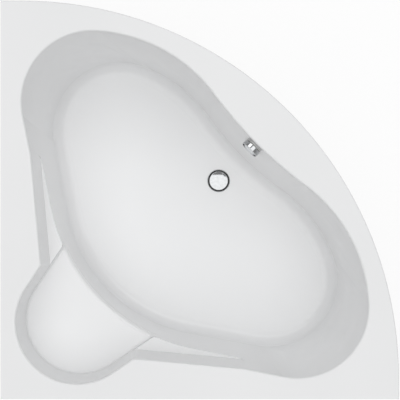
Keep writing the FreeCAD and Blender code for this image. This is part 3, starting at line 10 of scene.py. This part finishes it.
import bpy
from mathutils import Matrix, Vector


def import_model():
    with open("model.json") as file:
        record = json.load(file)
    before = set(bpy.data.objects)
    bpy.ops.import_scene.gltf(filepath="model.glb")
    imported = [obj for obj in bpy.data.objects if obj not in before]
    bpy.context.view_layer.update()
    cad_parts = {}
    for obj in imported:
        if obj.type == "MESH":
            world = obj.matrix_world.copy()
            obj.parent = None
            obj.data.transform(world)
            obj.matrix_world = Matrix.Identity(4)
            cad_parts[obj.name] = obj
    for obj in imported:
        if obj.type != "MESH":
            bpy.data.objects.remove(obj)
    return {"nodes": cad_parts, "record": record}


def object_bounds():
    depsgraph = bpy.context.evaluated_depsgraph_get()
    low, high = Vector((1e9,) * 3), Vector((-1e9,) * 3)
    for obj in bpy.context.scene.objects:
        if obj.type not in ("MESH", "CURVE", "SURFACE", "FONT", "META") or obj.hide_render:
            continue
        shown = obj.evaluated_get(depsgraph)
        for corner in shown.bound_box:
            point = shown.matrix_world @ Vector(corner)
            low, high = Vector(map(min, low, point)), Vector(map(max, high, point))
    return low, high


# Camera: a square picture from far above the deck.  PICTURE_MARGIN is how much wider than the
# deck the picture is, and PICTURE_SHIFT is where its middle lies from the deck's middle,
# along X and Y alike.
CAMERA_HEIGHT = 12.0
PICTURE_MARGIN = 0.006
PICTURE_SHIFT = -0.001
FAR_CLIP = 100.0
SENSOR = 36.0  # millimetres

# Studio: FLOOR_WHITE is the share of plain white in what the camera sees of the floor
FLOOR_HALF = 40.0
FLOOR_COLOUR = (0.93, 0.93, 0.93)
FLOOR_ROUGHNESS = 0.9
FLOOR_WHITE = 0.9
WORLD_STRENGTH = 0.3

# Lamps: name, edges along X, and power.  The gap between the two shows in the plug's cap as
# its dark crescent.
LAMP_HEIGHT = 5.0
LAMP_LENGTH = 8.0
LAMPS = (
    ("key", (-5.0, 1.45), 190.0),
    ("second", (2.35, 5.5), 140.0),
)

# General finish: how far its roughness drifts, as a share
POLISH_CHANGE = 0.2

# Acrylic: its whites at two places of the drift ramp, and the range of its roughness
ACRYLIC_WHITES = ((0.3, (0.805, 0.81, 0.815)), (0.7, (0.83, 0.833, 0.838)))
ACRYLIC_POLISH = (0.09, 0.13)

# Glass-fibre backing: it lies where the normal's Z is under FACING_DOWN, and is rougher than
# the acrylic by RESIN_ROUGHER
FACING_DOWN = -0.04
STRAND_STRETCH = (1.0, 3.0, 1.6)
STRAND_SCALE = 70.0
RESIN_TONES = ((0.2, (0.62, 0.60, 0.52)), (0.55, (0.76, 0.74, 0.67)), (0.9, (0.84, 0.83, 0.78)))
RESIN_ROUGHER = 0.38

# Chipboard: browns of its flakes, and the dust between them
FLAKE_STRETCH = (1.0, 1.0, 2.5)
FLAKE_SCALE = 240.0
FLAKE_BROWNS = ((0.0, (0.30, 0.19, 0.10)), (0.35, (0.46, 0.32, 0.18)),
                (0.65, (0.60, 0.45, 0.27)), (1.0, (0.72, 0.58, 0.38)))
FLAKE_DUST = (0.40, 0.27, 0.15)
BOARD_ROUGHNESS = 0.85

# Chrome: its greys at two places of the haze ramp, and the range of its roughness
CHROME_GREYS = ((0.3, (0.54, 0.55, 0.56)), (0.7, (0.60, 0.61, 0.62)))
CHROME_POLISH = (0.05, 0.09)


# --- node helpers ------------------------------------------------------------------------------


def new_material(name):
    """An empty node material with a Principled shader joined to its output."""
    material = bpy.data.materials.new(name)
    material.use_nodes = True
    nodes = material.node_tree.nodes
    nodes.clear()
    output = nodes.new("ShaderNodeOutputMaterial")
    shader = nodes.new("ShaderNodeBsdfPrincipled")
    material.node_tree.links.new(shader.outputs["BSDF"], output.inputs["Surface"])
    return material, shader


def set_values(node, **values):
    """Set sockets by name, with underscores for spaces."""
    for name, value in values.items():
        node.inputs[name.replace("_", " ")].default_value = value


def link(material, source, target):
    """Join an output to an input."""
    material.node_tree.links.new(source, target)


def add(material, kind, **values):
    """Add a node and set its sockets."""
    node = material.node_tree.nodes.new(kind)
    set_values(node, **values)
    return node


def object_space(material, stretch=(1.0, 1.0, 1.0)):
    """Coordinates in metres of the object's own space, stretched along its axes."""
    place = add(material, "ShaderNodeTexCoord")
    mapping = add(material, "ShaderNodeMapping", Scale=stretch)
    link(material, place.outputs["Object"], mapping.inputs["Vector"])
    return mapping.outputs["Vector"]


def noise(material, space, scale, detail=3.0):
    """Fractal noise, from 0 to 1."""
    node = add(material, "ShaderNodeTexNoise", Scale=scale, Detail=detail, Roughness=0.5)
    link(material, space, node.inputs["Vector"])
    return node.outputs["Fac"]


def cells(material, space, scale, feature="F1"):
    """Cells of a Voronoi pattern: its distance and its colour."""
    node = add(material, "ShaderNodeTexVoronoi", Scale=scale)
    node.feature = feature
    link(material, space, node.inputs["Vector"])
    return node


def ramp(material, source, stops):
    """A colour ramp from (place, colour) pairs."""
    node = add(material, "ShaderNodeValToRGB")
    elements = node.color_ramp.elements
    while len(elements) > 1:
        elements.remove(elements[-1])
    elements[0].position, elements[0].color = stops[0][0], (*stops[0][1], 1.0)
    for position, colour in stops[1:]:
        elements.new(position).color = (*colour, 1.0)
    link(material, source, node.inputs["Fac"])
    return node.outputs["Color"]


def spread(material, source, low, high):
    """Map a value between 0 and 1 to a range."""
    node = add(material, "ShaderNodeMapRange")
    node.inputs["To Min"].default_value = low
    node.inputs["To Max"].default_value = high
    link(material, source, node.inputs["Value"])
    return node.outputs["Result"]


def bump(material, shader, height, strength, distance):
    """Raise the surface by a pattern."""
    node = add(material, "ShaderNodeBump", Strength=strength, Distance=distance)
    link(material, height, node.inputs["Height"])
    link(material, node.outputs["Normal"], shader.inputs["Normal"])


def mix(material, factor, first, second):
    """Mix two colours by a factor."""
    node = material.node_tree.nodes.new("ShaderNodeMix")
    node.data_type = "RGBA"
    link(material, factor, node.inputs[0])
    for socket, value in ((node.inputs[6], first), (node.inputs[7], second)):
        if isinstance(value, tuple):
            socket.default_value = (*value, 1.0)
        else:
            link(material, value, socket)
    return node.outputs[2]


def shades(colour, change):
    """A darker and a lighter version of a colour."""
    return [tuple(part * (1 + sign * change) for part in colour) for sign in (-1, 1)]


# --- finishes ----------------------------------------------------------------------------------


def moulded(name, colour, roughness, grain, depth, change, metal=0.0):
    """A general finish: colour drift by a share, uneven polish and a grain of some depth."""
    material, shader = new_material(name)
    space = object_space(material)
    dark, light = shades(colour, change)
    drift = noise(material, space, scale=6.0)
    link(material, ramp(material, drift, ((0.3, dark), (0.7, light))),
         shader.inputs["Base Color"])
    polish = noise(material, space, scale=40.0, detail=5.0)
    smooth, dull = roughness * (1 - POLISH_CHANGE), roughness * (1 + POLISH_CHANGE)
    link(material, spread(material, polish, smooth, dull), shader.inputs["Roughness"])
    shader.inputs["Metallic"].default_value = metal
    fine = noise(material, space, scale=grain, detail=2.0)
    bump(material, shader, fine, strength=0.5, distance=depth)
    return material


def gloss_of(material, space):
    """White and roughness of sanitary acrylic."""
    white = ramp(material, noise(material, space, scale=1.5), ACRYLIC_WHITES)
    polish = noise(material, space, scale=25.0, detail=4.0)
    return white, spread(material, polish, *ACRYLIC_POLISH)


def acrylic(name):
    """Glossy white sanitary acrylic."""
    material, shader = new_material(name)
    space = object_space(material)
    white, roughness = gloss_of(material, space)
    link(material, white, shader.inputs["Base Color"])
    link(material, roughness, shader.inputs["Roughness"])
    ripple = noise(material, space, scale=9.0, detail=2.0)
    bump(material, shader, ripple, strength=0.2, distance=0.0004)
    return material


def faces_down(material):
    """1 on surfaces that face the ground and 0 on the others."""
    place = add(material, "ShaderNodeNewGeometry")
    parts = add(material, "ShaderNodeSeparateXYZ")
    link(material, place.outputs["True Normal"], parts.inputs["Vector"])
    below = add(material, "ShaderNodeMath")
    below.operation = "LESS_THAN"
    below.inputs[1].default_value = FACING_DOWN
    link(material, parts.outputs["Z"], below.inputs[0])
    return below.outputs[0]


def laminated_acrylic(name):
    """Acrylic whose underside is backed with chopped glass fibre in resin."""
    material, shader = new_material(name)
    space = object_space(material)
    below = faces_down(material)
    white, roughness = gloss_of(material, space)
    strands = cells(material, object_space(material, STRAND_STRETCH), STRAND_SCALE, "F2")
    resin = ramp(material, strands.outputs["Distance"], RESIN_TONES)
    link(material, mix(material, below, white, resin), shader.inputs["Base Color"])
    matt = add(material, "ShaderNodeMath")
    matt.operation = "MULTIPLY_ADD"
    matt.inputs[1].default_value = RESIN_ROUGHER
    link(material, below, matt.inputs[0])
    link(material, roughness, matt.inputs[2])
    link(material, matt.outputs[0], shader.inputs["Roughness"])
    weave = add(material, "ShaderNodeMath")
    weave.operation = "MULTIPLY"
    link(material, below, weave.inputs[0])
    link(material, strands.outputs["Distance"], weave.inputs[1])
    bump(material, shader, weave.outputs[0], strength=0.6, distance=0.0012)
    return material


def chipboard(name):
    """Pressed wood flakes of several browns."""
    material, shader = new_material(name)
    space = object_space(material, FLAKE_STRETCH)
    flakes = cells(material, space, FLAKE_SCALE)
    tone = noise(material, space, scale=500.0, detail=4.0)
    browns = ramp(material, flakes.outputs["Color"], FLAKE_BROWNS)
    dusty = spread(material, tone, low=0.0, high=0.4)
    link(material, mix(material, dusty, browns, FLAKE_DUST), shader.inputs["Base Color"])
    shader.inputs["Roughness"].default_value = BOARD_ROUGHNESS
    bump(material, shader, flakes.outputs["Distance"], strength=0.5, distance=0.0006)
    return material


def chrome(name):
    """Polished chrome with the faintest haze."""
    material, shader = new_material(name)
    space = object_space(material)
    haze = noise(material, space, scale=120.0, detail=4.0)
    shader.inputs["Metallic"].default_value = 1.0
    link(material, ramp(material, haze, CHROME_GREYS), shader.inputs["Base Color"])
    link(material, spread(material, haze, *CHROME_POLISH), shader.inputs["Roughness"])
    bump(material, shader, haze, strength=0.05, distance=0.00005)
    return material


# Finish of each of the record's material slots
FINISHES = {
    "acrylic": lambda: laminated_acrylic("sanitary_acrylic"),
    "panel_acrylic": lambda: acrylic("panel_acrylic"),
    "chipboard": lambda: chipboard("chipboard"),
    "zinc_steel": lambda: moulded(
        "zinc_plated_steel", colour=(0.55, 0.56, 0.58), roughness=0.34, grain=1500.0,
        depth=0.00006, change=0.12, metal=1.0),
    "cradle_paint": lambda: moulded(
        "grey_powder_coat", colour=(0.20, 0.205, 0.21), roughness=0.45, grain=1400.0,
        depth=0.00012, change=0.06),
    "black_plastic": lambda: moulded(
        "black_nylon", colour=(0.025, 0.025, 0.027), roughness=0.5, grain=1200.0,
        depth=0.0001, change=0.1),
    "chrome": lambda: chrome("polished_chrome"),
    "brass": lambda: moulded(
        "turned_brass", colour=(0.62, 0.44, 0.18), roughness=0.3, grain=800.0,
        depth=0.00005, change=0.1, metal=1.0),
    "rubber": lambda: moulded(
        "black_rubber", colour=(0.022, 0.022, 0.022), roughness=0.75, grain=1600.0,
        depth=0.00012, change=0.12),
    "white_plastic": lambda: moulded(
        "white_polypropylene", colour=(0.72, 0.72, 0.70), roughness=0.4, grain=1000.0,
        depth=0.0001, change=0.04),
}


def dress(frame):
    """Give every node the finish of its material slot."""
    made = {}
    slots = {item["node"]: item["material_slot"] for item in frame["record"]["subparts"]}
    for name, item in frame["nodes"].items():
        slot = slots[name]
        if slot not in made:
            made[slot] = FINISHES[slot]()
        if not item.material_slots:
            item.data.materials.append(made[slot])
        for place in item.material_slots:
            place.material = made[slot]


# --- studio ------------------------------------------------------------------------------------


def make_floor():
    """A wide pale floor, which the camera, metal and glass see as nearly white."""
    mesh = bpy.data.meshes.new("studio_floor")
    half = FLOOR_HALF
    mesh.from_pydata([(-half, -half, 0), (half, -half, 0), (half, half, 0), (-half, half, 0)],
                     [], [(0, 1, 2, 3)])
    floor = bpy.data.objects.new("studio_floor", mesh)
    bpy.context.collection.objects.link(floor)
    material, shader = new_material("studio_floor")
    set_values(shader, Base_Color=(*FLOOR_COLOUR, 1.0), Roughness=FLOOR_ROUGHNESS)
    nodes = material.node_tree.nodes
    white = add(material, "ShaderNodeEmission", Color=(1.0, 1.0, 1.0, 1.0), Strength=1.0)
    path = nodes.new("ShaderNodeLightPath")
    seen = path.outputs["Is Camera Ray"]
    for kind in ("Is Glossy Ray", "Is Transmission Ray"):
        either = add(material, "ShaderNodeMath")
        either.operation = "MAXIMUM"
        link(material, seen, either.inputs[0])
        link(material, path.outputs[kind], either.inputs[1])
        seen = either.outputs[0]
    share = add(material, "ShaderNodeMath")
    share.operation = "MULTIPLY"
    share.inputs[1].default_value = FLOOR_WHITE
    blend = nodes.new("ShaderNodeMixShader")
    link(material, seen, share.inputs[0])
    link(material, share.outputs[0], blend.inputs["Fac"])
    link(material, shader.outputs["BSDF"], blend.inputs[1])
    link(material, white.outputs["Emission"], blend.inputs[2])
    output = nodes["Material Output"]
    link(material, blend.outputs["Shader"], output.inputs["Surface"])
    mesh.materials.append(material)


def make_world():
    """Even light from all round."""
    world = bpy.data.worlds.new("studio")
    bpy.context.scene.world = world
    world.use_nodes = True
    background = world.node_tree.nodes["Background"]
    background.inputs["Color"].default_value = (1.0, 1.0, 1.0, 1.0)
    background.inputs["Strength"].default_value = WORLD_STRENGTH


def make_lamp(name, edges, power):
    """A level soft box overhead, between two places along X."""
    light = bpy.data.lights.new(name, "AREA")
    light.shape = "RECTANGLE"
    light.size = edges[1] - edges[0]
    light.size_y = LAMP_LENGTH
    light.energy = power
    lamp = bpy.data.objects.new(name, light)
    lamp.location = (sum(edges) / 2, 0.0, LAMP_HEIGHT)
    bpy.context.collection.objects.link(lamp)


def make_camera(box):
    """Straight down on the deck, which fills the box's plan, with +X at the picture's top."""
    low, high = box
    width = high[0] - low[0] + PICTURE_MARGIN
    middle = [(low[axis] + high[axis]) / 2 + PICTURE_SHIFT for axis in (0, 1)]
    data = bpy.data.cameras.new("photo_camera")
    data.sensor_width = SENSOR
    data.lens = SENSOR * CAMERA_HEIGHT / width
    data.clip_end = FAR_CLIP
    camera = bpy.data.objects.new("photo_camera", data)
    camera.location = (*middle, high[2] + CAMERA_HEIGHT)
    camera.rotation_euler = (0.0, 0.0, -math.pi / 2)
    bpy.context.collection.objects.link(camera)
    bpy.context.scene.camera = camera


def main():
    """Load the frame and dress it."""
    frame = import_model()
    cad_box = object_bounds()
    dress(frame)
    make_floor()
    make_world()
    for lamp in LAMPS:
        make_lamp(*lamp)
    make_camera(cad_box)
    bpy.context.scene.view_settings.view_transform = "Standard"


main()
